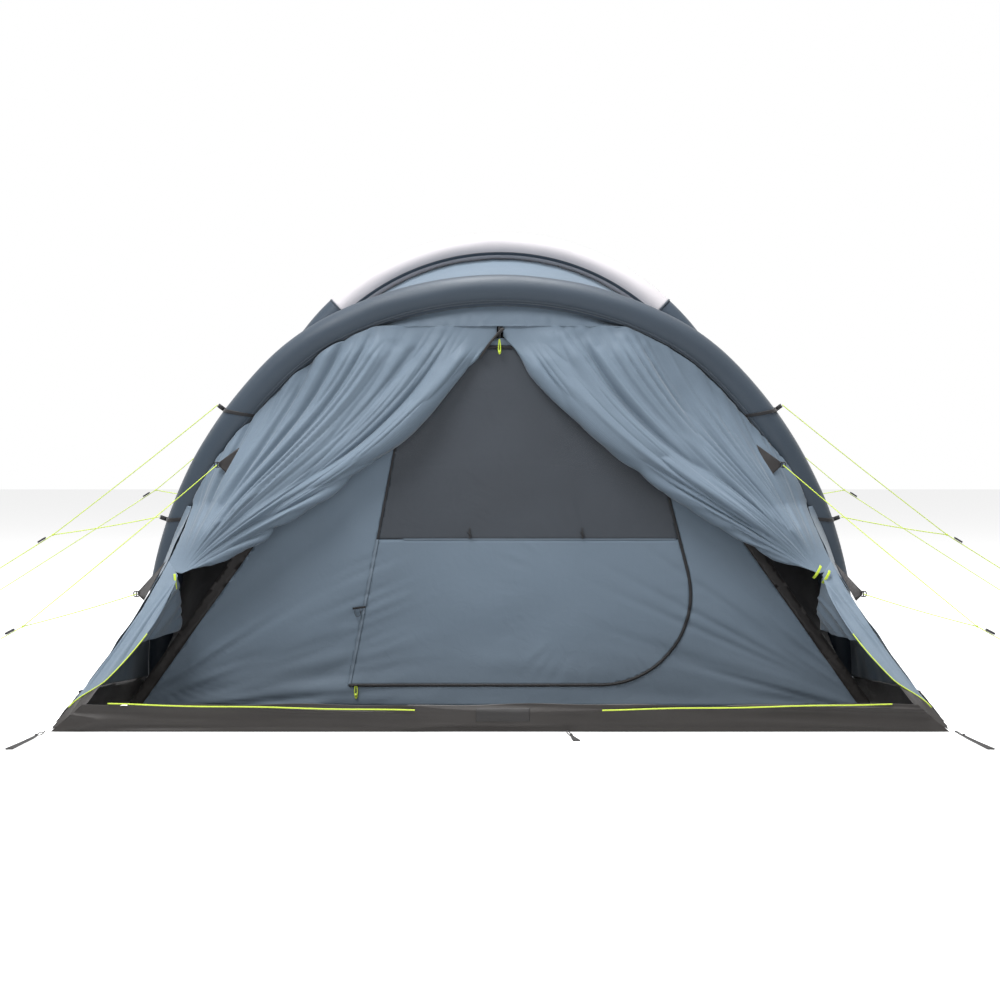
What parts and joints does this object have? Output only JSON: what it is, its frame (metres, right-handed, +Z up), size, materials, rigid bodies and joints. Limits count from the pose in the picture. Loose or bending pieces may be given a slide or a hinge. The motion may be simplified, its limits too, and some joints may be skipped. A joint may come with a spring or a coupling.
{
  "type": "inflatable tunnel tent",
  "caption": "Pitched tunnel tent on inflatable beams, porch doors tied back, inner front wall with zipped door, guy lines and pegging tabs.",
  "frame": {"origin": "on the ground, at the centre of the tent's footprint between the front hem and the foot of the rear wall", "axes": "+Z up; the front faces -Y; +X to the right of someone facing the front; the tent is symmetric about X = 0 apart from the door, valves and centre peg tab"},
  "size_m": [5.8602, 5.6489, 2.0225],
  "materials": {
    "navy_sleeve": "satin",
    "slate_fly": "satin",
    "pale_sleeve": "satin",
    "bladder": "gloss",
    "brown_base": "satin",
    "lime_trim": "matte",
    "black_webbing": "matte",
    "black_plastic": "matte",
    "dark_mesh": "matte",
    "lime_cord": "matte",
    "black_zip": "satin",
    "strut_fibreglass": "gloss"
  },
  "bodies": {
    "tent": {"groundsheet": "brown_base", "base_band": "brown_base", "front_sill": "brown_base", "sill_piping": "lime_trim", "sill_patch": "black_webbing", "front_beam_sleeve": "navy_sleeve", "front_beam_bladder": "bladder", "main_beam_top": "pale_sleeve", "main_beam_sleeve_right": "navy_sleeve", "main_beam_sleeve_left": "navy_sleeve", "main_beam_bladder": "bladder", "valve_bodies": "black_plastic", "beam_straps": "black_webbing", "bay_roof": "slate_fly", "bay_side_right": "slate_fly", "bay_side_left": "slate_fly", "rear_roof": "slate_fly", "rear_side_right": "slate_fly", "rear_side_left": "slate_fly", "rear_wall": "slate_fly", "rear_vent_mesh": "dark_mesh", "rear_struts": "strut_fibreglass", "strut_sleeves": "navy_sleeve", "brow": "slate_fly", "front_panel_right": "slate_fly", "front_panel_left": "slate_fly", "porch_side_right": "slate_fly", "porch_side_left": "slate_fly", "door_ties": "lime_trim", "front_zip_head": "brown_base", "front_wall": "slate_fly", "wall_edge_strips": "brown_base", "wall_gusset_right": "navy_sleeve", "wall_gusset_left": "navy_sleeve", "door_zip": "black_zip", "door_tie_back": "black_webbing", "guy_tabs": "brown_base", "guy_front_panel": "lime_cord", "guy_front_beam": "lime_cord", "guy_main_beam": "lime_cord", "guy_rear": "lime_cord", "peg_tabs": "black_webbing"},
    "flap_right": {"door_flap_right": "slate_fly"},
    "flap_left": {"door_flap_left": "slate_fly"},
    "door": {"wall_door": "slate_fly", "door_window": "dark_mesh", "window_toggles": "black_webbing"},
    "zip_slider": {"door_zip_slider": "black_zip"},
    "front_pull": {"front_zip_pull": "lime_trim"},
    "cap_front": {"valve_cap_front": "black_plastic"},
    "cap_main": {"valve_cap_main": "black_plastic"},
    "vent_hood": {"rear_vent_hood": "slate_fly"},
    "runner_panel_right": {"runner_panel_right": "black_plastic"},
    "runner_panel_left": {"runner_panel_left": "black_plastic"},
    "runner_front_right": {"runner_front_right": "black_plastic"},
    "runner_front_left": {"runner_front_left": "black_plastic"},
    "runner_main_right": {"runner_main_right": "black_plastic"},
    "runner_main_left": {"runner_main_left": "black_plastic"},
    "runner_rear_right": {"runner_rear_right": "black_plastic"},
    "runner_rear_left": {"runner_rear_left": "black_plastic"}
  },
  "joints": [
    {"name": "flap_right_swing", "type": "hinge", "parent": "tent", "child": "flap_right", "pos_m": [0.6585, -1.62908, 1.025], "axis": [-0.7948, 0.1295, 0.5929], "range_deg": [0, 35]},
    {"name": "flap_left_swing", "type": "hinge", "parent": "tent", "child": "flap_left", "pos_m": [-0.6585, -1.62908, 1.025], "axis": [-0.7948, -0.1295, -0.5929], "range_deg": [0, 35]},
    {"name": "door_swing", "type": "hinge", "parent": "tent", "child": "door", "pos_m": [-0.58366, -1.6155, 0.08589], "axis": [0.1867, 0.0685, 0.98], "range_deg": [0, 85]},
    {"name": "door_zip_slide", "type": "slide", "parent": "tent", "child": "zip_slider", "axis": [1, 0, 0], "range_m": [0, 0.9]},
    {"name": "front_pull_swing", "type": "hinge", "parent": "tent", "child": "front_pull", "pos_m": [-0.002, -1.54916, 1.428], "axis": [0, 1, 0], "range_deg": [-45, 45]},
    {"name": "cap_front_hinge", "type": "hinge", "parent": "tent", "child": "cap_front", "pos_m": [1.33517, -1.28704, 0.41829], "axis": [-1, 0, 0], "range_deg": [0, 120]},
    {"name": "cap_main_hinge", "type": "hinge", "parent": "tent", "child": "cap_main", "pos_m": [1.38344, 0.2265, 0.39777], "axis": [-1, 0, 0], "range_deg": [0, 120]},
    {"name": "vent_hood_hinge", "type": "hinge", "parent": "tent", "child": "vent_hood", "pos_m": [0, 2.13275, 0.8181], "axis": [1, 0, 0], "range_deg": [0, 60]},
    {"name": "runner_panel_right_slide", "type": "slide", "parent": "tent", "child": "runner_panel_right", "axis": [0.7748, -0.4647, -0.4286], "range_m": [0, 0.4]},
    {"name": "runner_panel_left_slide", "type": "slide", "parent": "tent", "child": "runner_panel_left", "axis": [-0.7748, -0.4647, -0.4286], "range_m": [0, 0.4]},
    {"name": "runner_front_right_slide", "type": "slide", "parent": "tent", "child": "runner_front_right", "axis": [0.8539, 0, -0.5205], "range_m": [0, 0.4]},
    {"name": "runner_front_left_slide", "type": "slide", "parent": "tent", "child": "runner_front_left", "axis": [-0.8539, 0, -0.5205], "range_m": [0, 0.4]},
    {"name": "runner_main_right_slide", "type": "slide", "parent": "tent", "child": "runner_main_right", "axis": [0.845, 0, -0.5348], "range_m": [0, 0.4]},
    {"name": "runner_main_left_slide", "type": "slide", "parent": "tent", "child": "runner_main_left", "axis": [-0.845, 0, -0.5348], "range_m": [0, 0.4]},
    {"name": "runner_rear_right_slide", "type": "slide", "parent": "tent", "child": "runner_rear_right", "axis": [0.5092, 0.6376, -0.578], "range_m": [0, 0.3]},
    {"name": "runner_rear_left_slide", "type": "slide", "parent": "tent", "child": "runner_rear_left", "axis": [-0.5092, 0.6376, -0.578], "range_m": [0, 0.3]}
  ]
}
